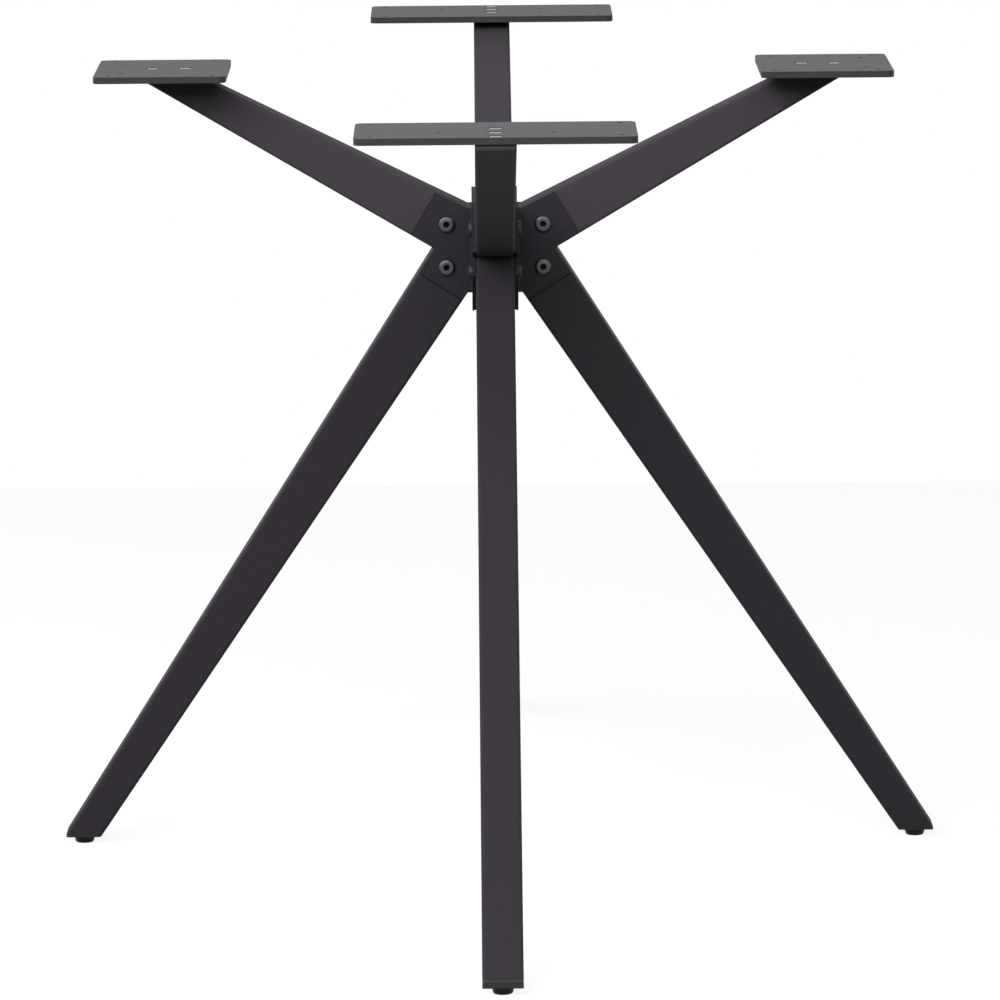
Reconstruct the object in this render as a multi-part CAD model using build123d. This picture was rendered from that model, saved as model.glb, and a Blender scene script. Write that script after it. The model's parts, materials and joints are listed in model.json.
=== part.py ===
"""Four-armed steel table base: four bolted K frames, folded corner brackets, top plates and glides."""
import os
from math import hypot

from build123d import *

# Overall sizes, millimetres
base_height = 720.0
tube_width = 35.0
tube_wall = 2.0
tube_corner_r = 3.0

# Hub where the four frames meet
hub_drop = 166.9
hub_height = 79.6
hub_gap = 0.5
hub_plate_thickness = 3.0
bracket_thickness = 3.0
bracket_bend_r = 2.5
bracket_flat = 2.0
bracket_inset = 0.8

# Side frames, left and right
side_arm_end_r = 295.9
side_arm_end_length = 52.4
side_tip_height = 2.0
side_foot_r = 385.6
side_foot_length = 32.2
side_toe_height = 2.5
side_notch_r = 56.0
side_notch_rise = 1.35
side_arm_lap = 25.0
side_leg_lap = 26.0
side_bolt_r = 44.0

# Long frames, front and rear
long_arm_end_r = 537.9
long_arm_end_length = 77.2
long_tip_height = 4.0
long_foot_r = 612.0
long_foot_length = 32.0
long_toe_height = 6.0
long_notch_r = 60.0
long_notch_rise = -0.55
long_arm_lap = 17.0
long_leg_lap = 23.0
long_bolt_r = 54.0

# Closing pieces at the ends of the tubes
end_plate_thickness = 6.0
foot_cap_height = 7.0

# Bracket bolts and the threaded bushes they screw into
bolt_spacing = 39.5
bolt_centre_rise = 4.15
bolt_d = 8.0
bolt_length = 16.0
bolt_head_d = 15.5
bolt_head_height = 4.0
bolt_head_rim = 1.0
bolt_shoulder_d = 13.6
bolt_shoulder_height = 2.9
bolt_crown_d = 9.6
bolt_socket = 5.0
bolt_socket_depth = 2.8
bolt_hole_d = 8.6
bush_d = 14.0

# Top plates
plate_thickness = 6.0
plate_corner_r = 7.0
plate_edge = 0.3
side_plate_radial = 120.0
side_plate_across = 152.0
side_plate_shift = 5.7
long_plate_radial = 116.2
long_plate_across = 237.0
long_plate_shift = -18.3
plate_hole_d = 4.5
plate_hole_inset = 13.5
side_extra_hole_inset = 24.2
side_extra_hole_across = 41.0
long_extra_hole_across = 48.5

# Countersunk screws that hold the top plates on the arms
screw_pitch = 29.6
side_screw_count = 2
long_screw_count = 3
screw_d = 6.0
screw_length = 10.0
screw_head_d = 12.0
screw_sink = 1.1
screw_socket = 4.0
screw_socket_depth = 2.0

# Glides under the feet
glide_height = 7.5
glide_top_d = 20.5
glide_bottom_d = 17.0
glide_edge = 0.8
glide_stem_d = 8.0
glide_stem_length = 10.0

# Clearances
fit = 0.1
weld_fit = 0.05

# Derived levels and radii
seat_z = base_height - plate_thickness
tube_top_z = seat_z - end_plate_thickness
tube_foot_z = glide_height + foot_cap_height
hub_centre_z = base_height - hub_drop
hub_top_z = hub_centre_z + hub_height / 2
hub_bottom_z = hub_centre_z - hub_height / 2
half_tube = tube_width / 2
hub_face_r = half_tube + hub_gap
hub_cut_r = hub_face_r + hub_plate_thickness
bend_centre_r = half_tube + bracket_thickness + bracket_bend_r
hub_edge_r = bend_centre_r + bracket_flat
bolt_levels = [
    hub_centre_z + bolt_centre_rise + bolt_spacing / 2,
    hub_centre_z + bolt_centre_rise - bolt_spacing / 2,
]
side_plate_r = side_arm_end_r + side_plate_shift
long_plate_r = long_arm_end_r + long_plate_shift
side_extra_hole_r = side_plate_r + side_plate_radial / 2 - side_extra_hole_inset
far = 2 * base_height


def at_r(line, r):
    """Point of a line, given as two points, at radius r."""
    (r0, z0), (r1, z1) = line
    return (r, z0 + (z1 - z0) * (r - r0) / (r1 - r0))


def at_z(line, z):
    """Point of a line, given as two points, at height z."""
    (r0, z0), (r1, z1) = line
    return (r0 + (r1 - r0) * (z - z0) / (z1 - z0), z)


def direction(line):
    """Unit direction of a line."""
    (r0, z0), (r1, z1) = line
    length = hypot(r1 - r0, z1 - z0)
    return ((r1 - r0) / length, (z1 - z0) / length)


def along(point, step, distance):
    """Point moved by a distance along a unit direction."""
    return (point[0] + step[0] * distance, point[1] + step[1] * distance)


def left_of(line, distance):
    """Line moved sideways, to the left of its own direction."""
    u, w = direction(line)
    return [along(point, (-w, u), distance) for point in line]


def meet(first, second):
    """Point where two lines cross."""
    (u1, w1), (u2, w2) = direction(first), direction(second)
    (r1, z1), (r2, z2) = first[0], second[0]
    distance = ((r2 - r1) * w2 - (z2 - z1) * u2) / (u1 * w2 - w1 * u2)
    return along(first[0], (u1, w1), distance)


def square_from(point, line):
    """Line through a point at right angles to another line."""
    u, w = direction(line)
    return [point, along(point, (-w, u), 1)]


def slab(outline, width):
    """Solid with a radius-height outline, centred across the frame."""
    return extrude(Plane.XZ * Polygon(*outline, align=None), width / 2, both=True)


def bar(outline, width, corner_r):
    """Tapered bar whose four long edges are rounded."""
    blank = slab(outline, width)
    return fillet(blank.edges().sort_by(SortBy.LENGTH)[-4:], corner_r)


def across(r, z, radius, length):
    """Round rod across the frame, centred on it."""
    return Pos(r, 0, z) * Rot(90, 0, 0) * Cylinder(radius, length)


def upright(r, t, z, radius, height):
    """Round rod standing on height z."""
    return Pos(r, t, z) * Cylinder(radius, height, align=(Align.CENTER, Align.CENTER, Align.MIN))


def frame_lines(arm_end_r, arm_end_length, tip_height, foot_r, foot_length, toe_height, notch_r, notch_rise):
    """Four edge lines of a K frame, each from the hub outwards."""
    notch = (notch_r, hub_centre_z + notch_rise)
    hub_top = (hub_edge_r, hub_top_z)
    hub_bottom = (hub_edge_r, hub_bottom_z)
    arm_top = [hub_top, (arm_end_r - arm_end_length / 2, seat_z)]
    arm_bottom = [notch, (arm_end_r + arm_end_length / 2, seat_z - tip_height)]
    leg_outer = [notch, (foot_r + foot_length / 2, glide_height + toe_height)]
    leg_inner = [hub_bottom, (foot_r - foot_length / 2, glide_height)]
    return arm_top, arm_bottom, leg_outer, leg_inner


def arm_outline(lines, inset):
    """Arm outline run past both of its ends, moved in by an inset."""
    top = left_of(lines[0], -inset)
    bottom = left_of(lines[1], inset)
    past_end = lines[1][1][0] + tube_width
    return [at_r(top, 0), at_r(bottom, 0), at_r(bottom, past_end), at_r(top, past_end)]


def leg_outline(lines, inset):
    """Leg outline run past both of its ends, moved in by an inset."""
    outer = left_of(lines[2], -inset)
    inner = left_of(lines[3], inset)
    above = hub_top_z
    return [at_z(inner, above), at_z(outer, above), at_z(outer, -tube_width), at_z(inner, -tube_width)]


def frame_pieces(lines, arm_end_r, foot_r, bolt_r, screw_count):
    """Welded pieces of one K frame that points along +X."""
    arm_top, arm_bottom, leg_outer, leg_inner = lines
    mitre = [(hub_cut_r, hub_centre_z), arm_bottom[0]]
    arm_zone = slab(
        [mitre[0], at_r(mitre, far), (far, tube_top_z), (hub_cut_r, tube_top_z)],
        far,
    )
    leg_zone = slab(
        [mitre[0], (hub_cut_r, tube_foot_z), (far, tube_foot_z), at_r(mitre, far)],
        far,
    )
    inner_width = tube_width - 2 * tube_wall
    inner_corner_r = tube_corner_r - tube_wall
    arm_bar = bar(arm_outline(lines, 0), tube_width, tube_corner_r)
    leg_bar = bar(leg_outline(lines, 0), tube_width, tube_corner_r)
    arm_core = bar(arm_outline(lines, tube_wall), inner_width, inner_corner_r)
    leg_core = bar(leg_outline(lines, tube_wall), inner_width, inner_corner_r)

    bush_holes = [across(bolt_r, z, bush_d / 2 + weld_fit, 2 * tube_width) for z in bolt_levels]
    arm_tube = (arm_bar & arm_zone) - arm_core - bush_holes[0]
    leg_tube = (leg_bar & leg_zone) - leg_core - bush_holes[1]

    tip_r = arm_bottom[1][0]
    end_zone = slab([(0, tube_top_z), (tip_r, tube_top_z), (tip_r, seat_z), (0, seat_z)], far)
    end_plate = arm_bar & end_zone
    for r in screw_radii(arm_end_r, screw_count):
        end_plate -= upright(r, 0, tube_top_z - fit, screw_d / 2, 2 * end_plate_thickness)

    toe_r = leg_outer[1][0]
    foot_zone = slab([(0, glide_height), (toe_r, glide_height), (toe_r, tube_foot_z), (0, tube_foot_z)], far)
    foot_cap = leg_bar & foot_zone
    foot_cap -= upright(foot_r, 0, 0, glide_stem_d / 2 + fit, base_height / 2)

    plate_top = at_r(arm_top, hub_cut_r)[1]
    plate_bottom = at_r(leg_inner, hub_cut_r)[1]
    hub_face = Plane(origin=(hub_face_r, 0, (plate_top + plate_bottom) / 2), x_dir=(0, 1, 0), z_dir=(1, 0, 0))
    hub_plate = extrude(
        hub_face * RectangleRounded(tube_width, plate_top - plate_bottom, tube_corner_r),
        hub_plate_thickness,
    )

    bushes = []
    for z in bolt_levels:
        bushes.append(across(bolt_r, z, bush_d / 2, tube_width) - across(bolt_r, z, bolt_d / 2, far))
    return {
        "arm_tube": arm_tube,
        "leg_tube": leg_tube,
        "arm_end_plate": end_plate,
        "foot_cap": foot_cap,
        "hub_plate": hub_plate,
        "threaded_bushes": bushes,
    }


def screw_radii(arm_end_r, count):
    """Radii of the screws in one row along an arm end."""
    return [arm_end_r + screw_pitch * (i - (count - 1) / 2) for i in range(count)]


def top_plate(plate_r, radial, width_across, screws, extra_holes):
    """Mounting plate with countersunk screw holes and plain wood-screw holes."""
    outline = Pos(plate_r, 0, seat_z) * RectangleRounded(radial, width_across, plate_corner_r)
    blank = extrude(outline, plate_thickness)
    levels = blank.faces().sort_by(Axis.Z)
    plate = chamfer(levels[-1].edges() + levels[0].edges(), plate_edge)
    hole_r = screw_d / 2 + fit
    sink_depth = (screw_head_d - screw_d) / 2 + screw_sink
    sink = Cone(hole_r, hole_r + sink_depth, sink_depth, align=(Align.CENTER, Align.CENTER, Align.MAX))
    for r in screws:
        plate -= upright(r, 0, 0, hole_r, far)
        plate -= Pos(r, 0, base_height) * sink
    corners = [
        (plate_r + i * (radial / 2 - plate_hole_inset), j * (width_across / 2 - plate_hole_inset))
        for i in (-1, 1)
        for j in (-1, 1)
    ]
    for r, t in corners + extra_holes:
        plate -= upright(r, t, 0, plate_hole_d / 2, far)
    return plate


def plate_screw():
    """Countersunk socket screw, its head face at the origin."""
    head_depth = (screw_head_d - screw_d) / 2
    shank_r = screw_d / 2 - fit
    half = Polygon(
        (0, 0),
        (screw_head_d / 2, 0),
        (shank_r, -(head_depth + fit)),
        (shank_r, -screw_length),
        (0, -screw_length),
        align=None,
    )
    body = revolve(Plane.XZ * half, Axis.Z)
    hexagon = RegularPolygon(screw_socket / 2, 6, major_radius=False)
    socket = extrude(Pos(0, 0, -screw_socket_depth) * hexagon, far)
    return body - socket


def bracket_bolt():
    """Button-head socket screw, the underside of its head at the origin and its shank down."""
    shank_r = bolt_d / 2 - fit
    half = Polygon(
        (0, -bolt_length),
        (shank_r, -bolt_length),
        (shank_r, 0),
        (bolt_head_d / 2, 0),
        (bolt_head_d / 2, bolt_head_rim),
        (bolt_shoulder_d / 2, bolt_shoulder_height),
        (bolt_crown_d / 2, bolt_head_height),
        (0, bolt_head_height),
        align=None,
    )
    body = revolve(Plane.XZ * half, Axis.Z)
    socket_z = bolt_head_height - bolt_socket_depth
    hexagon = RegularPolygon(bolt_socket / 2, 6, major_radius=False)
    socket = extrude(Pos(0, 0, socket_z) * hexagon, far)
    return body - socket


def glide(foot_r):
    """Tapered glide with a stem that presses into the foot cap."""
    stem_r = glide_stem_d / 2
    stem_top = glide_height + glide_stem_length
    half = Polygon(
        (0, 0),
        (glide_bottom_d / 2 - glide_edge, 0),
        (glide_bottom_d / 2, glide_edge),
        (glide_top_d / 2, glide_height),
        (stem_r, glide_height),
        (stem_r, stem_top),
        (0, stem_top),
        align=None,
    )
    return Pos(foot_r, 0, 0) * revolve(Plane.XZ * half, Axis.Z)


def flange(lines, bolt_r, arm_lap, leg_lap, side):
    """Bracket flange on one flat side of a frame along +X; side is +1 or -1."""
    arm_top = left_of(lines[0], -bracket_inset)
    arm_bottom = left_of(lines[1], bracket_inset)
    leg_outer = left_of(lines[2], -bracket_inset)
    leg_inner = left_of(lines[3], bracket_inset)
    notch = meet(arm_bottom, leg_outer)
    arm_low = along(notch, direction(arm_bottom), arm_lap)
    leg_high = along(notch, direction(leg_outer), leg_lap)
    arm_seam = square_from(arm_low, arm_bottom)
    leg_seam = square_from(leg_high, leg_outer)
    top_z = hub_top_z - bracket_inset
    bottom_z = hub_bottom_z + bracket_inset
    outline = Polygon(
        (bend_centre_r, top_z),
        (hub_edge_r, top_z),
        meet(arm_seam, arm_top),
        arm_low,
        notch,
        leg_high,
        meet(leg_seam, leg_inner),
        (hub_edge_r, bottom_z),
        (bend_centre_r, bottom_z),
        align=None,
    )
    sheet = extrude(Plane.XZ.offset(-side * half_tube) * outline, bracket_thickness, dir=(0, side, 0))
    for z in bolt_levels:
        sheet -= across(bolt_r, z, bolt_hole_d / 2, far)
    return sheet


def corner_bracket():
    """Folded bracket between the right and rear frames."""
    bend_outer_r = bracket_bend_r + bracket_thickness
    ring = Circle(bend_outer_r) - Circle(bracket_bend_r)
    quarter = ring & (Pos(-far / 2, -far / 2) * Rectangle(far, far))
    bend = extrude(
        Pos(bend_centre_r, bend_centre_r, hub_bottom_z + bracket_inset) * quarter,
        hub_height - 2 * bracket_inset,
    )
    side_flange = flange(side_lines, side_bolt_r, side_arm_lap, side_leg_lap, 1)
    long_flange = flange(long_lines, long_bolt_r, long_arm_lap, long_leg_lap, -1)
    return side_flange + bend + Rot(0, 0, 90) * long_flange


def bolt_group(bolt_r):
    """Bracket bolts on both sides of one frame."""
    seat = half_tube + bracket_thickness
    bolts = []
    for z in bolt_levels:
        for side in (-1, 1):
            bolts.append(Pos(bolt_r, side * seat, z) * Rot(-90 * side, 0, 0) * bracket_bolt())
    return bolts


def screw_group(screws):
    """Countersunk screws of one top plate."""
    head_z = base_height - screw_sink
    return [Pos(r, 0, head_z) * plate_screw() for r in screws]


side_lines = frame_lines(
    side_arm_end_r,
    side_arm_end_length,
    side_tip_height,
    side_foot_r,
    side_foot_length,
    side_toe_height,
    side_notch_r,
    side_notch_rise,
)
long_lines = frame_lines(
    long_arm_end_r,
    long_arm_end_length,
    long_tip_height,
    long_foot_r,
    long_foot_length,
    long_toe_height,
    long_notch_r,
    long_notch_rise,
)

# Pieces of one side frame and of one long frame, both along +X
side_screws = screw_radii(side_arm_end_r, side_screw_count)
side_extra_holes = [(side_extra_hole_r, i * side_extra_hole_across) for i in (-1, 1)]
side_set = frame_pieces(side_lines, side_arm_end_r, side_foot_r, side_bolt_r, side_screw_count)
side_set["top_plate"] = top_plate(
    side_plate_r, side_plate_radial, side_plate_across, side_screws, side_extra_holes
)
side_set["plate_screws"] = screw_group(side_screws)
side_set["glide"] = glide(side_foot_r)
side_set["bracket_bolts"] = bolt_group(side_bolt_r)

long_screws = screw_radii(long_arm_end_r, long_screw_count)
long_extra_holes = [(long_arm_end_r, i * long_extra_hole_across) for i in (-1, 1)]
long_set = frame_pieces(long_lines, long_arm_end_r, long_foot_r, long_bolt_r, long_screw_count)
long_set["top_plate"] = top_plate(
    long_plate_r, long_plate_radial, long_plate_across, long_screws, long_extra_holes
)
long_set["plate_screws"] = screw_group(long_screws)
long_set["glide"] = glide(long_foot_r)
long_set["bracket_bolts"] = bolt_group(long_bolt_r)

# Turn the frames into place and mirror the bracket into the four corners
nodes = {}
for place, angle, pieces in (
    ("right", 0, side_set),
    ("rear", 90, long_set),
    ("left", 180, side_set),
    ("front", 270, long_set),
):
    for piece_name, piece in pieces.items():
        group = piece if isinstance(piece, list) else [piece]
        turned = [Rot(0, 0, angle) * solid for solid in group]
        nodes[f"{place}_{piece_name}"] = Compound(turned) if len(turned) > 1 else turned[0]
rear_right = corner_bracket()
nodes["rear_right_bracket"] = rear_right
nodes["rear_left_bracket"] = mirror(rear_right, Plane.YZ)
nodes["front_right_bracket"] = mirror(rear_right, Plane.XZ)
nodes["front_left_bracket"] = mirror(mirror(rear_right, Plane.XZ), Plane.YZ)

os.makedirs("parts", exist_ok=True)
for node_name, node in nodes.items():
    export_step(node, f"parts/{node_name}.step")
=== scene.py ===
# %% [markdown]
# # Table leg base
# The real object is a table base of four bent steel frames, bolted together at a hub and coated black.
# Blender could model all of it, but the solid shapes have to be true to size, and a second model of them
# would drift away from the CAD model. So this scene loads the CAD nodes as they are. It gives each node
# its finish, draws finer fasteners and welds, and lights and frames the whole as a studio picture on
# white.

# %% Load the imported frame
import json
from math import atan2, cos, pi, radians, sin

import bmesh
import bpy
from mathutils import Matrix, Vector

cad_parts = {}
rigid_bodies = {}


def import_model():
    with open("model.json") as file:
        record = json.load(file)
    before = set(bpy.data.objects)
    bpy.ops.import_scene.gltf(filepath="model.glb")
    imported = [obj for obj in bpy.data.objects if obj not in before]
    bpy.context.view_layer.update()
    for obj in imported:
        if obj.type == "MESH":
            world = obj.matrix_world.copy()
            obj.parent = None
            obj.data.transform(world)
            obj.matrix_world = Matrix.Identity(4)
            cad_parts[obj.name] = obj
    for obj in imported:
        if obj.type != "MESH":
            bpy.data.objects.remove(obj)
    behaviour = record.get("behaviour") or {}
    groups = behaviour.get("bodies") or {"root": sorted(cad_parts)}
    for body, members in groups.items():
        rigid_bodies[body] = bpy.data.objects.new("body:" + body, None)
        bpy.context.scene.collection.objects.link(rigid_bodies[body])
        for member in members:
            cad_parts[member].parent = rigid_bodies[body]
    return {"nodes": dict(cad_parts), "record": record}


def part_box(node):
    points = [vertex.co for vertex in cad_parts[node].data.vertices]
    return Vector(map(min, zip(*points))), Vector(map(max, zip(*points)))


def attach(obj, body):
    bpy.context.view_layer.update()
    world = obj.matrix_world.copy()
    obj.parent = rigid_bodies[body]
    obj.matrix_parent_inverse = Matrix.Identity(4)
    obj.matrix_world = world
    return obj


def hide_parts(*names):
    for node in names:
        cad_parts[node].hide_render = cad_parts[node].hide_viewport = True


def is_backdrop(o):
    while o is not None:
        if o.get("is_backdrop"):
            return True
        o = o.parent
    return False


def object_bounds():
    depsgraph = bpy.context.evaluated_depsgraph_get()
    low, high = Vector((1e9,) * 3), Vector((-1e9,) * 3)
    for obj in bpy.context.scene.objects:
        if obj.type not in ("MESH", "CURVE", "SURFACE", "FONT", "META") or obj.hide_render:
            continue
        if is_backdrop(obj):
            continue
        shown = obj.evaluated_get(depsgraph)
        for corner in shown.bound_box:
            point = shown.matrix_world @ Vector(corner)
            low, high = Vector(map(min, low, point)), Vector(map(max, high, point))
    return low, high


for old in list(bpy.data.objects):
    bpy.data.objects.remove(old)
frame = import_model()
cad_low, cad_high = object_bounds()
nodes = frame["nodes"]
cad_size = [top - bottom for bottom, top in zip(cad_low, cad_high)]
print(len(nodes), "CAD nodes, size in metres:", [round(side, 4) for side in cad_size])

# %% [markdown]
# ## Coat skin
# Powder coat is sprayed on dry and baked, which leaves a fine grain over a slow waviness and rounds every
# sheet edge a little. Pictures of paint could show that, but they repeat and need an unwrapped surface.
# Here one node group makes it from noise in object coordinates, in metres, so that every piece gets
# grains of the same size. A bevel node softens the edges in the shading alone, so the CAD meshes stay as
# they are.

# %% Build the coat skin group
grain_detail = 3.0
grain_breakup = 0.6
wave_scale = 130.0
wave_detail = 1.0
bevel_samples = 6


def coat_skin_group():
    """Node group: a normal with softened edges, slow waves and fine grain."""
    group = bpy.data.node_groups.new("coat skin", "ShaderNodeTree")
    for name in ("Scale", "Height", "Swell", "Edge"):
        group.interface.new_socket(name, in_out="INPUT", socket_type="NodeSocketFloat")
    group.interface.new_socket("Normal", in_out="OUTPUT", socket_type="NodeSocketVector")
    made, link = group.nodes, group.links
    inside = made.new("NodeGroupInput")
    outside = made.new("NodeGroupOutput")
    where = made.new("ShaderNodeTexCoord")
    grain = made.new("ShaderNodeTexNoise")
    grain.inputs["Detail"].default_value = grain_detail
    grain.inputs["Roughness"].default_value = grain_breakup
    edges = made.new("ShaderNodeBevel")
    edges.samples = bevel_samples
    grain_bump = made.new("ShaderNodeBump")
    swell = made.new("ShaderNodeTexNoise")
    swell.inputs["Scale"].default_value = wave_scale
    swell.inputs["Detail"].default_value = wave_detail
    swell_bump = made.new("ShaderNodeBump")
    link.new(where.outputs["Object"], grain.inputs["Vector"])
    link.new(where.outputs["Object"], swell.inputs["Vector"])
    link.new(inside.outputs["Scale"], grain.inputs["Scale"])
    link.new(inside.outputs["Edge"], edges.inputs["Radius"])
    link.new(grain.outputs["Fac"], grain_bump.inputs["Height"])
    link.new(inside.outputs["Height"], grain_bump.inputs["Distance"])
    link.new(edges.outputs["Normal"], swell_bump.inputs["Normal"])
    link.new(swell.outputs["Fac"], swell_bump.inputs["Height"])
    link.new(inside.outputs["Swell"], swell_bump.inputs["Distance"])
    link.new(swell_bump.outputs["Normal"], grain_bump.inputs["Normal"])
    link.new(grain_bump.outputs["Normal"], outside.inputs["Normal"])
    return group


coat_skin = coat_skin_group()
print("coat skin group:", len(coat_skin.nodes), "nodes")

# %% [markdown]
# ## Finishes
# The base is black all over in one coat. Under the light the arms look lighter than the legs and the
# brackets darker, and the scene paints that light and shade into lighter and darker copies of the coat:
# lighter ones for the arms, the top plates and the toes of the long frames' feet, a darker one for the
# brackets. The bolts, screws and glides have finishes of their own. Each could get a shader tree built by
# hand, but the trees would differ only in numbers. So one function makes a principled shader with a
# colour, a roughness and its share of the coat skin. The coat is a dark, faintly violet grey with a weak,
# broad sheen. Grain and edge sizes are in metres.

# %% Define a finish
grain_scale = 800.0
no_tint = (1.0, 1.0, 1.0)


def finish(name, colour, roughness, grain, edge, specular=0.5, metallic=0.0, tint=no_tint, swell=0.0002):
    """Finish of one colour with fine grain, slow waves and softened edges."""
    material = bpy.data.materials.new(name)
    material.use_nodes = True
    made, link = material.node_tree.nodes, material.node_tree.links
    shader = made["Principled BSDF"]
    shader.inputs["Base Color"].default_value = (*colour, 1.0)
    shader.inputs["Roughness"].default_value = roughness
    shader.inputs["Specular IOR Level"].default_value = specular
    shader.inputs["Specular Tint"].default_value = (*tint, 1.0)
    shader.inputs["Metallic"].default_value = metallic
    skin = made.new("ShaderNodeGroup")
    skin.node_tree = coat_skin
    skin.inputs["Scale"].default_value = grain_scale
    skin.inputs["Height"].default_value = grain
    skin.inputs["Swell"].default_value = swell
    skin.inputs["Edge"].default_value = edge
    link.new(skin.outputs["Normal"], shader.inputs["Normal"])
    return material


print("a grain is about", 1.0 / grain_scale, "metres wide")

# %% Mix the black coats
violet = (1.0, 0.95, 1.03)
fine_grain = 0.00003
sharp_edge = 0.0
powder_coat = finish(
    "powder coat",
    colour=(0.0225, 0.0196, 0.0238),
    roughness=0.60,
    grain=fine_grain,
    edge=sharp_edge,
    specular=0.10,
    tint=violet,
    swell=0.00028,
)
# Lighter copy of the coat for the foot caps of the long frames: painted light.
toe_coat_painted_light = finish(
    "toe coat painted light",
    colour=(0.0260, 0.0234, 0.0274),
    roughness=0.50,
    grain=0.00012,
    edge=0.0009,
    specular=0.20,
    tint=violet,
)
# Lighter copy of the coat for the arm tubes: painted light, for the arms showing lighter than the legs
# under the light.
arm_coat_painted_light = finish(
    "arm coat painted light",
    colour=(0.0410, 0.0358, 0.0429),
    roughness=0.70,
    grain=fine_grain,
    edge=sharp_edge,
    specular=0.10,
    tint=violet,
    swell=0.00010,
)
# Slightly lighter, glossier copy of the coat for the top plates: painted light on their tops.
plate_coat_painted_light = finish(
    "plate coat painted light",
    colour=(0.0240, 0.0210, 0.0252),
    roughness=0.50,
    grain=fine_grain,
    edge=sharp_edge,
    specular=0.20,
    tint=violet,
)
# Darker copy of the coat for the brackets: painted shade, for the shade the frames beside them throw on
# them.
bracket_coat_painted_shade = finish(
    "bracket coat painted shade",
    colour=(0.0175, 0.0151, 0.0189),
    roughness=0.50,
    grain=0.00015,
    edge=0.0008,
    specular=0.12,
    tint=violet,
)
print("coats of the steel parts:", len(bpy.data.materials), "materials so far")

# %% Mix the painted shade, fastener and glide finishes
turned_edge = 0.0002
smooth_grain = 0.00002
# Near-black painted shade: it darkens the notch welds and the tip grooves, where shade falls.
painted_shade_coat = finish(
    "painted shade coat",
    colour=(0.0025, 0.0022, 0.0025),
    roughness=0.60,
    grain=0.00030,
    edge=turned_edge,
    specular=0.08,
)
# Near-black painted shade for the floors of the hexagon sockets.
socket_painted_shade = finish(
    "socket painted shade",
    colour=(0.0020, 0.0020, 0.0020),
    roughness=0.60,
    grain=fine_grain,
    edge=sharp_edge,
    specular=0.05,
)
bolt_black = finish(
    "bolt black",
    colour=(0.072, 0.072, 0.075),
    roughness=0.45,
    grain=fine_grain,
    edge=turned_edge,
    metallic=1.0,
)
# Darker, duller copy of the bolt finish for the bolts on the front and rear frames: painted shade.
bolt_painted_shade = finish(
    "bolt painted shade",
    colour=(0.030, 0.030, 0.032),
    roughness=0.55,
    grain=fine_grain,
    edge=turned_edge,
    metallic=1.0,
)
screw_steel = finish(
    "screw steel",
    colour=(0.25, 0.25, 0.26),
    roughness=0.25,
    grain=fine_grain,
    edge=turned_edge,
    metallic=1.0,
)
bush_steel = finish(
    "bush steel",
    colour=(0.16, 0.16, 0.165),
    roughness=0.35,
    grain=smooth_grain,
    edge=turned_edge,
)
glide_plastic = finish(
    "glide plastic",
    colour=(0.0014, 0.0014, 0.0016),
    roughness=0.20,
    grain=smooth_grain,
    edge=sharp_edge,
    specular=0.30,
)
print("with the small parts:", len(bpy.data.materials), "materials")

# %% Give each node its finish
slot_finish = {
    "powder_coat": powder_coat,
    "bracket_bolt": bolt_black,
    "plate_screw": screw_steel,
    "bush": bush_steel,
    "glide": glide_plastic,
}
slot_of = {piece["node"]: piece["material_slot"] for piece in frame["record"]["subparts"]}
for name, node in nodes.items():
    node.data.materials.clear()
    coat = slot_finish[slot_of[name]]
    # The brackets take the darker copy of the coat: painted shade.
    if name.endswith("_bracket"):
        coat = bracket_coat_painted_shade
    # The arm tubes take the lighter copy of the coat: painted light.
    elif name.endswith("_arm_tube"):
        coat = arm_coat_painted_light
    # The top plates take the lighter, glossier copy of the coat: painted light.
    elif name.endswith("_top_plate"):
        coat = plate_coat_painted_light
    # The long frames' foot caps take the lighter copy of the coat: painted light.
    elif name in ("front_foot_cap", "rear_foot_cap"):
        coat = toe_coat_painted_light
    node.data.materials.append(coat)
print("finishes on the nodes:", sorted({node.data.materials[0].name for node in nodes.values()}))

# %% [markdown]
# ## Skins over sections
# Turned fasteners, weld beads and ridges all keep one kind of outline while it grows, shrinks or moves
# along. They could be spun or swept one by one, but a hexagon socket can't be spun and a weld changes its
# size along the way. So each is a closed skin over a row of sections. A section is a ring of points, and
# all rings of one skin have the same number of points. The first ring is extruded from section to
# section, and both ends are capped. The last cap takes the second material, which paints the floor of a
# socket near-black: painted shade for the shade deep in the socket.

# %% Shape the rings
millimetre = 0.001
ring_sides = 48


def circle(radius, height):
    """Ring of points on a circle, sizes in millimetres."""
    turns = [2 * pi * side / ring_sides for side in range(ring_sides)]
    return [Vector((radius * cos(turn), radius * sin(turn), height)) * millimetre for turn in turns]


def hexagon(across_flats, height):
    """Ring of points on a hexagon, sizes in millimetres."""
    ring = []
    for point in circle(1.0, 0.0):
        turn = atan2(point.y, point.x) % (pi / 3) - pi / 6
        reach = across_flats / 2 / cos(turn)
        ring.append(Vector((point.x * reach, point.y * reach, height * millimetre)))
    return ring


def rounded(outer, inner, low, high, steps=8):
    """Rings of a rounded shoulder that runs inwards and up from its outer edge."""
    turns = [pi / 2 * step / steps for step in range(steps + 1)]
    return [circle(inner + (outer - inner) * cos(turn), low + (high - low) * sin(turn)) for turn in turns]


print("a ring has", ring_sides, "points, and a hexagon the same:", len(hexagon(1.0, 0.0)))

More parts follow.
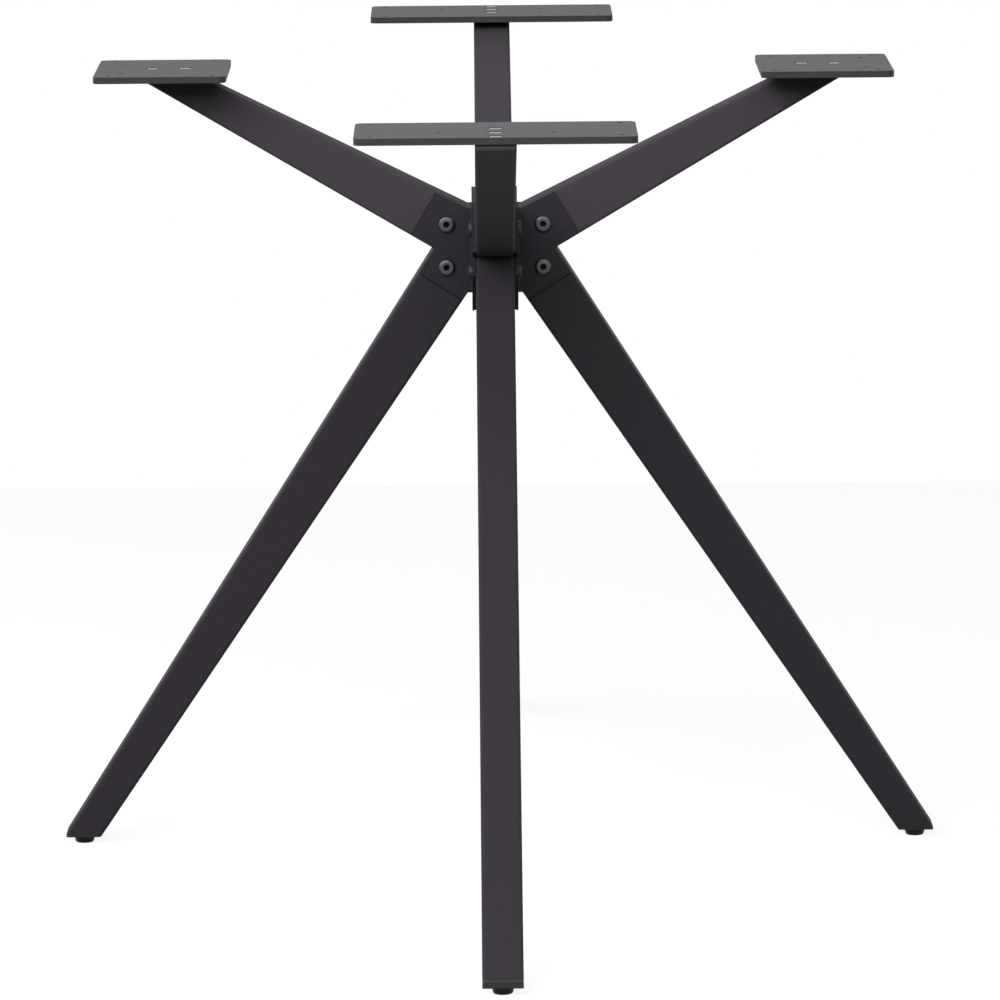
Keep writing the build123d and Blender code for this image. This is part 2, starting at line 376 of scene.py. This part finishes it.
# %% Draw a skin and make it a piece
def add_skin(mesh, sections, matrix):
    """Adds a closed skin over sections to a bmesh, moved by a matrix."""
    first = bmesh.ops.create_circle(mesh, segments=len(sections[0]), radius=1.0)["verts"]
    place_of = {vert: place for place, vert in enumerate(first)}
    edges = list({edge for vert in first for edge in vert.link_edges})
    bmesh.ops.contextual_create(mesh, geom=edges)
    for section in sections:
        if section is not sections[0]:
            grown = bmesh.ops.extrude_edge_only(mesh, edges=edges)["geom"]
            edges = [part for part in grown if isinstance(part, bmesh.types.BMEdge)]
            fresh = [part for part in grown if isinstance(part, bmesh.types.BMVert)]
            place_of = {
                vert: place_of[edge.other_vert(vert)]
                for vert in fresh
                for edge in vert.link_edges
                if edge.other_vert(vert) in place_of
            }
        for vert, place in place_of.items():
            vert.co = matrix @ section[place]
    end = bmesh.ops.contextual_create(mesh, geom=edges)["faces"]
    for face in end:
        face.material_index = 1


def as_piece(name, mesh, materials, sharp_angle):
    """Makes a bmesh a smooth object with sharp creases, which rides on the part."""
    bmesh.ops.recalc_face_normals(mesh, faces=mesh.faces)
    data = bpy.data.meshes.new(name)
    mesh.to_mesh(data)
    mesh.free()
    data.shade_smooth()
    data.set_sharp_from_angle(angle=sharp_angle)
    for material in materials:
        data.materials.append(material)
    piece = bpy.data.objects.new(name, data)
    bpy.context.collection.objects.link(piece)
    print(name, "has", len(data.polygons), "faces")
    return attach(piece, "root")


print("a skin closes with two caps, and its last cap has material 1")

# %% [markdown]
# ## Bracket bolts
# The brackets are held by button-head bolts: a flat crown, a rounded shoulder and a hexagon socket. The
# CAD bolts are plainer, and a bevel modifier on them would round the socket as well as the shoulder. So
# each bolt is a skin over sections from the shank's end to the socket's floor. The box of the CAD node
# gives the places of its four bolts, and the finer bolts take that node's place in the picture. Those on
# the front and rear frames, which are seen edge-on, get a darker, duller copy of the bolt finish: painted
# shade, for the shade they sit in between the frames.

# %% Lay out the bolt's sections
shank_radius = 4.0
shank_length = 15.0
head_radius = 7.75
head_height = 4.0
rim_height = 0.9
crown_radius = 5.3
socket_mouth = 3.1
socket_flats = 5.0
socket_chamfer = 0.5
socket_depth = 2.8
bolt_sections = [
    circle(shank_radius, -shank_length),
    circle(shank_radius, 0.0),
    circle(head_radius, 0.0),
    *rounded(head_radius, crown_radius, rim_height, head_height),
    circle(socket_mouth, head_height),
    hexagon(socket_flats, head_height - socket_chamfer),
    hexagon(socket_flats, head_height - socket_depth),
]
print("a bolt has", len(bolt_sections), "sections")

# %% Set the bolts in the brackets
turned_to = {
    "front": Vector((0.0, -1.0, 0.0)),
    "rear": Vector((0.0, 1.0, 0.0)),
    "left": Vector((-1.0, 0.0, 0.0)),
    "right": Vector((1.0, 0.0, 0.0)),
}
upwards = Vector((0.0, 0.0, 1.0))
fastener_crease = radians(35)
for place, outwards in turned_to.items():
    node_name = f"{place}_bracket_bolts"
    low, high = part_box(node_name)
    middle = (low + high) / 2
    across = upwards.cross(outwards)
    reach = abs((high - low).dot(across)) / 2 - head_height * millimetre
    inset = head_radius * millimetre
    bolts = bmesh.new()
    for side in (-1, 1):
        facing = (across * side).to_track_quat("Z", "Y").to_matrix().to_4x4()
        for level in (low.z + inset, high.z - inset):
            seat = Vector((middle.x, middle.y, level)) + across * side * reach
            add_skin(bolts, bolt_sections, Matrix.Translation(seat) @ facing)
    # The front and rear frames' bolts take the darker copy: painted shade.
    black = bolt_painted_shade if place in ("front", "rear") else bolt_black
    # The socket floors take the near-black painted shade.
    piece = as_piece(f"{place}_button_bolts", bolts, (black, socket_painted_shade), fastener_crease)
    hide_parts(node_name)

# %% [markdown]
# ## Plate screws
# Countersunk screws hold the top plates, nearly flush with them. A flat steel head shows bright inside
# the dark ring of its countersink, with a dark hexagon socket in the middle. A ring painted on the plate
# could suggest that, but it would look flat from the side. So each screw is a skin as the bolts are, with
# a rounded rim, and it sits a little higher than the CAD screw that it replaces.

# %% Lay out the screw's sections
screw_lift = 0.9
screw_shank_radius = 3.0
screw_length = 9.0
screw_head_depth = 3.0
screw_head_radius = 6.0
screw_crown_radius = 4.3
screw_crown_steps = 5
screw_socket_mouth = 2.5
screw_socket_flats = 4.0
screw_socket_chamfer = 0.3
screw_socket_depth = 2.0
screw_sections = [
    circle(screw_shank_radius, -screw_length),
    circle(screw_shank_radius, -screw_head_depth - screw_lift),
    *rounded(screw_head_radius, screw_crown_radius, -screw_lift, 0.0, steps=screw_crown_steps),
    circle(screw_socket_mouth, 0.0),
    hexagon(screw_socket_flats, -screw_socket_chamfer),
    hexagon(screw_socket_flats, -screw_socket_depth),
]
print("a screw has", len(screw_sections), "sections")

# %% Set the screws in the plates
for place, outwards in turned_to.items():
    node_name = f"{place}_plate_screws"
    low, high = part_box(node_name)
    middle = (low + high) / 2
    reach = abs((high - low).dot(outwards)) / 2 - screw_head_radius * millimetre
    steps = (-1, 0, 1) if place in ("front", "rear") else (-1, 1)
    screws = bmesh.new()
    for step in steps:
        top = Vector((middle.x, middle.y, high.z + screw_lift * millimetre)) + outwards * step * reach
        add_skin(screws, screw_sections, Matrix.Translation(top))
    # The socket floors take the near-black painted shade.
    piece = as_piece(f"{place}_flush_screws", screws, (screw_steel, socket_painted_shade), fastener_crease)
    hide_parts(node_name)

# %% [markdown]
# ## Notch welds
# Arm and leg meet in a notch on the outside of each frame, and a weld fills it. The weld is near-black:
# painted shade, for the shade that falls in the notch under the arm. It is deepest in the middle and runs
# out at the tube's edges, so that from the front it draws a shallow smile. A straight rod laid in the
# notch would be simpler, but it would end in two blunt stubs. So the weld is a skin whose sections shrink
# towards the edges. Frames come in two kinds, the long ones at the front and rear and the side ones, and
# each kind's notch is written once.

# %% Describe the two kinds of frame
class FrameKind:
    """Notch of one kind of frame: its place, its slopes, and the laps and lengths of its seams."""

    def __init__(
        self, reach, level, arm_slope, leg_slope, arm_lap, leg_lap, arm_seam, leg_seam, weld_reach
    ):
        self.reach = reach
        self.level = level
        self.arm_way = Vector((0.0, cos(radians(arm_slope)), sin(radians(arm_slope))))
        self.leg_way = Vector((0.0, cos(radians(leg_slope)), sin(radians(leg_slope))))
        self.arm_lap = arm_lap
        self.leg_lap = leg_lap
        self.arm_seam = arm_seam
        self.leg_seam = leg_seam
        self.weld_reach = weld_reach


long_kind = FrameKind(
    reach=60.0,
    level=552.55,
    arm_slope=17.0,
    leg_slope=-43.5,
    arm_lap=17.0,
    leg_lap=23.0,
    arm_seam=45.5,
    leg_seam=50.3,
    weld_reach=(2.0, 4.0),
)
side_kind = FrameKind(
    reach=56.0,
    level=554.45,
    arm_slope=30.6,
    leg_slope=-57.6,
    arm_lap=25.0,
    leg_lap=26.0,
    arm_seam=44.9,
    leg_seam=46.4,
    weld_reach=(1.5, 1.5),
)
kind_of = {"front": long_kind, "rear": long_kind, "left": side_kind, "right": side_kind}
print("notches at", long_kind.level, "and", side_kind.level, "millimetres above the floor")

# %% Lay the welds in the notches
weld_half_width = 16.0
weld_end_share = 0.03
weld_bulge = 0.55
weld_root = 0.6
weld_curve_parts = (0.25, 0.5, 0.75)
weld_crease = radians(50)


def frame_axes(outwards):
    """Matrix that turns x, y and z into across, outwards and upwards of a frame."""
    return Matrix((outwards.cross(upwards), outwards, upwards)).transposed().to_4x4()


def weld_sections(kind, steps=24):
    """Sections of a weld across a tube; x runs across, y outwards and z up, from the middle of the hub."""
    arm_reach, leg_reach = kind.weld_reach
    notch = Vector((0.0, kind.reach, kind.level))
    sections = []
    for step in range(steps + 1):
        along = 2 * step / steps - 1
        share = max(1.0 - along * along, weld_end_share)
        arm_toe = kind.arm_way * arm_reach * share
        leg_toe = kind.leg_way * leg_reach * share
        bulge = (arm_toe + leg_toe) * weld_bulge
        ring = [Vector((0.0, -weld_root, 0.0)), arm_toe]
        for part in weld_curve_parts:
            ring.append(arm_toe * (1 - part) ** 2 + bulge * 2 * part * (1 - part) + leg_toe * part**2)
        ring.append(leg_toe)
        start = notch + Vector((along * weld_half_width, 0.0, 0.0))
        sections.append([(start + point) * millimetre for point in ring])
    return sections


# Each notch weld takes the near-black painted shade.
for place, outwards in turned_to.items():
    weld = bmesh.new()
    add_skin(weld, weld_sections(kind_of[place]), frame_axes(outwards))
    as_piece(f"{place}_notch_weld", weld, (painted_shade_coat, painted_shade_coat), weld_crease)

# %% [markdown]
# ## Seam ridges
# Where a bracket flange ends on a tube, the coat builds up into a thin ridge that catches the light. A
# bump in the coat could suggest it, but it would have to be placed on each node. So the ridge is a thin
# round rod along the flange's outer edge. A flange laps the arm and the leg from a notch of its own, a
# small inset behind the tubes' notch, and ends square to each of them, which gives the rods their places.

# %% Run the ridges along the seams
flange_face = 20.4
flange_inset = 0.8
ridge_radius = 0.6
ridge_offset = 0.3
ridge_sides = 8
strip_crease = radians(60)


def ridge_sections(start, end, face_way):
    """Sections of a round ridge between two points, sizes in millimetres."""
    along = (end - start).normalized()
    beside = along.cross(face_way)
    turns = [2 * pi * side / ridge_sides for side in range(ridge_sides)]
    ring = [face_way * ridge_radius * cos(turn) + beside * ridge_radius * sin(turn) for turn in turns]
    return [[(point + offset) * millimetre for offset in ring] for point in (start, end)]


for place, outwards in turned_to.items():
    kind = kind_of[place]
    outer_way = (kind.arm_way + kind.leg_way).normalized()
    notch_step = outer_way * flange_inset / sin(outer_way.angle(kind.arm_way))
    ridges = bmesh.new()
    for side in (-1, 1):
        face_way = Vector((side, 0.0, 0.0))
        notch = Vector((side * flange_face, kind.reach, kind.level)) - notch_step
        arm_up = Vector((0.0, -kind.arm_way.z, kind.arm_way.y))
        leg_down = Vector((0.0, kind.leg_way.z, -kind.leg_way.y))
        arm_start = notch + kind.arm_way * (kind.arm_lap + ridge_offset)
        leg_start = notch + kind.leg_way * (kind.leg_lap + ridge_offset)
        for start, end in (
            (arm_start, arm_start + arm_up * kind.arm_seam),
            (leg_start, leg_start + leg_down * kind.leg_seam),
        ):
            add_skin(ridges, ridge_sections(start, end, face_way), frame_axes(outwards))
    as_piece(f"{place}_seam_ridges", ridges, (powder_coat, powder_coat), strip_crease)

# %% [markdown]
# ## Tip beads
# A round weld bead closes the blunt tip of each long arm under its top plate, and a groove is left above
# it. A light and a dark stripe in the arm's material could stand for them, but real beads catch the
# light from every side. So both are skins that run from side to side around the rounded corners of the
# tube, the bead with a round profile and the groove with a flat one. The groove's strip stands a little
# proud and is near-black: painted shade, for the shade in the groove under the plate. The bead takes the
# brackets' darker copy of the coat, with its painted shade.

# %% Shape a strip around an arm's tip
tip_reach = 576.5
tip_half_width = 17.5
tip_corner_radius = 1.3
bead_depth = 1.1


def tip_sections(profile, steps=6):
    """Sections of a strip around a long arm's tip; a profile holds depths and levels in millimetres."""
    corner_x = tip_half_width - bead_depth - tip_corner_radius
    sections = []
    for side, first_turn in ((-1, pi), (1, pi / 2)):
        corner = Vector((side * corner_x, tip_reach - tip_corner_radius, 0.0))
        for step in range(steps + 1):
            heading = first_turn - pi / 2 * step / steps
            away = Vector((cos(heading), sin(heading), 0.0))
            ring = [
                corner + away * (tip_corner_radius + depth) + upwards * level
                for depth, level in profile
            ]
            sections.append([point * millimetre for point in ring])
    return sections


print("a strip reaches", tip_reach + bead_depth, "millimetres from the middle of the hub")

# %% Close the tips with beads and grooves
bead_low = 708.7
bead_high = 712.7
bead_steps = 8
groove_depth = 0.25
groove_high = 713.9
strip_root = -1.5
bead_turns = [pi / 2 * step / bead_steps for step in range(bead_steps + 1)]
bead_height = bead_high - bead_low
bead_profile = [(bead_depth * sin(turn), bead_low + bead_height * cos(turn)) for turn in bead_turns]
bead_profile.append((strip_root, bead_low))
groove_shade_profile = [
    (strip_root, groove_high),
    (groove_depth, groove_high),
    (groove_depth, bead_high),
    (strip_root, bead_high),
]
# The groove strips take the near-black painted shade, and the beads the brackets' darker copy.
for place in ("front", "rear"):
    for name, profile, coat in (
        ("tip_bead", bead_profile, bracket_coat_painted_shade),
        ("tip_groove", groove_shade_profile, painted_shade_coat),
    ):
        strip = bmesh.new()
        add_skin(strip, tip_sections(profile), frame_axes(turned_to[place]))
        as_piece(f"{place}_{name}", strip, (coat, coat), strip_crease)

# %% [markdown]
# ## Surround and floor
# The base stands on white, in front of white. Very strong lamps could bleach a grey floor, but they would
# bleach the black coat as well. So the Light Path node tells the rays apart: the surround is white to the
# camera and in reflections, and nearly dark as a lamp. The floor is a plain grey that takes the shadow,
# with a glow on top for the camera. Reflections get half of that glow, which keeps the undersides of the
# arms darker than all of it would.

# %% Mix shaders by the kind of ray
def show_white(tree, plain, bright, reflected):
    """Mixes two shaders: bright to the camera, and by a share to glossy and transmission rays."""
    path = tree.nodes.new("ShaderNodeLightPath")
    either = tree.nodes.new("ShaderNodeMath")
    either.operation = "MAXIMUM"
    shared = tree.nodes.new("ShaderNodeMath")
    shared.operation = "MULTIPLY"
    shared.inputs[1].default_value = reflected
    seen = tree.nodes.new("ShaderNodeMath")
    seen.operation = "MAXIMUM"
    mix = tree.nodes.new("ShaderNodeMixShader")
    tree.links.new(path.outputs["Is Glossy Ray"], either.inputs[0])
    tree.links.new(path.outputs["Is Transmission Ray"], either.inputs[1])
    tree.links.new(either.outputs[0], shared.inputs[0])
    tree.links.new(path.outputs["Is Camera Ray"], seen.inputs[0])
    tree.links.new(shared.outputs[0], seen.inputs[1])
    tree.links.new(seen.outputs[0], mix.inputs["Fac"])
    tree.links.new(plain.outputs[0], mix.inputs[1])
    tree.links.new(bright.outputs[0], mix.inputs[2])
    return mix


print("white goes to camera, glossy and transmission rays")

# %% Hang the white surround
white = (1.0, 1.0, 1.0, 1.0)
surround_fill = 0.05
surround_white = 1.0
surround_reflected = 1.0
world = bpy.data.worlds.new("surround")
bpy.context.scene.world = world
world.use_nodes = True
tree = world.node_tree
fill = tree.nodes["Background"]
fill.inputs["Color"].default_value = white
fill.inputs["Strength"].default_value = surround_fill
backdrop = tree.nodes.new("ShaderNodeBackground")
backdrop.inputs["Color"].default_value = white
backdrop.inputs["Strength"].default_value = surround_white
mixed = show_white(tree, fill, backdrop, surround_reflected)
tree.links.new(mixed.outputs[0], tree.nodes["World Output"].inputs["Surface"])
print("surround:", surround_white, "to the camera and", surround_fill, "as light")

# %% Lay the floor
floor_size = 4.0
floor_grey = 0.16
floor_glow = 0.88
floor_reflected = 0.5
bpy.ops.mesh.primitive_plane_add(size=floor_size)
floor = bpy.context.object
floor.name = "floor"
paper = bpy.data.materials.new("floor paper")
paper.use_nodes = True
tree = paper.node_tree
matte = tree.nodes.new("ShaderNodeBsdfDiffuse")
matte.inputs["Color"].default_value = (floor_grey, floor_grey, floor_grey, 1.0)
glow = tree.nodes.new("ShaderNodeEmission")
glow.inputs["Strength"].default_value = floor_glow
lit = tree.nodes.new("ShaderNodeAddShader")
tree.links.new(matte.outputs[0], lit.inputs[0])
tree.links.new(glow.outputs[0], lit.inputs[1])
mixed = show_white(tree, matte, lit, floor_reflected)
tree.links.new(mixed.outputs[0], tree.nodes["Material Output"].inputs["Surface"])
floor.data.materials.append(paper)
floor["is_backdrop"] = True
print("floor:", floor_size, "metres square")

# %% [markdown]
# ## Softboxes
# Black steel shows its form by soft changes of shade: lighter arms, dark corners under the plates, and a
# left side that is lighter than the right. The lighter arms are partly painted light in the arms' copy of
# the coat. One sun lamp would light it evenly, with hard shadows. So big area lights stand as softboxes
# do in a studio, two in front and above, which leave the plates' undersides dark, and one at each side,
# the left one stronger. All of them face the same point under the hub from the same distance.

# %% Set up the softboxes
softbox_aim = Vector((0.0, 0.0, 0.45))
softbox_distance = 4.0


def softbox(name, turn, rise, width, height, watts):
    """Area light that faces the part, placed by its angle from the front and its angle above the floor."""
    across = Vector((sin(radians(turn)), -cos(radians(turn)), 0.0)) * cos(radians(rise))
    place = softbox_aim + (across + Vector((0.0, 0.0, sin(radians(rise))))) * softbox_distance
    data = bpy.data.lights.new(name, "AREA")
    data.shape = "RECTANGLE"
    data.size = width
    data.size_y = height
    data.energy = watts
    light = bpy.data.objects.new(name, data)
    light.location = place
    light.rotation_euler = (softbox_aim - place).to_track_quat("-Z", "Y").to_euler()
    light.visible_camera = False
    bpy.context.collection.objects.link(light)
    return light


softboxes = [
    softbox("front softbox", turn=-2, rise=29, width=2.8, height=1.7, watts=120.0),
    softbox("front left softbox", turn=-38, rise=36, width=2.6, height=1.8, watts=120.0),
    softbox("left softbox", turn=-88, rise=25, width=2.4, height=2.4, watts=62.0),
    softbox("right softbox", turn=88, rise=25, width=2.4, height=2.4, watts=36.0),
]
print(len(softboxes), "softboxes,", sum(light.data.energy for light in softboxes), "watts in all")

# %% [markdown]
# ## Camera
# The picture was taken from the front and a little above, with a long lens, so the frames hardly shrink
# with distance. The camera could be turned by hand until the views agree, but small errors would remain.
# So its place, lens and angles come from a fit to points of the picture. The small turn and roll show
# that the real camera wasn't quite square to the base. The view transform is Standard, so that colours
# render as they are written.

# %% Place the camera
sensor_width = 36.0
lens_length = 248.555
camera_place = (-0.01663, -6.27685, 1.37382)
camera_turn = -0.1774
camera_tilt = 9.5484
camera_roll = -0.4844
camera_data = bpy.data.cameras.new("camera")
camera_data.sensor_width = sensor_width
camera_data.lens = lens_length
camera = bpy.data.objects.new("camera", camera_data)
turn = Matrix.Rotation(radians(camera_turn), 4, "Z")
pitch = Matrix.Rotation(radians(90.0 - camera_tilt), 4, "X")
roll = Matrix.Rotation(radians(camera_roll), 4, "Z")
camera.matrix_world = Matrix.Translation(camera_place) @ turn @ pitch @ roll
bpy.context.collection.objects.link(camera)
bpy.context.scene.camera = camera
bpy.context.scene.view_settings.view_transform = "Standard"
print("camera", round(-camera_place[1], 2), "metres in front, looking down by", camera_tilt, "degrees")

# %% [markdown]
# ## Sizes
# The finer pieces must not make the base bigger than its CAD model. That could be judged by eye, but
# here the box of all shown pieces is measured again.

# %% Measure the shown box
low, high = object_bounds()
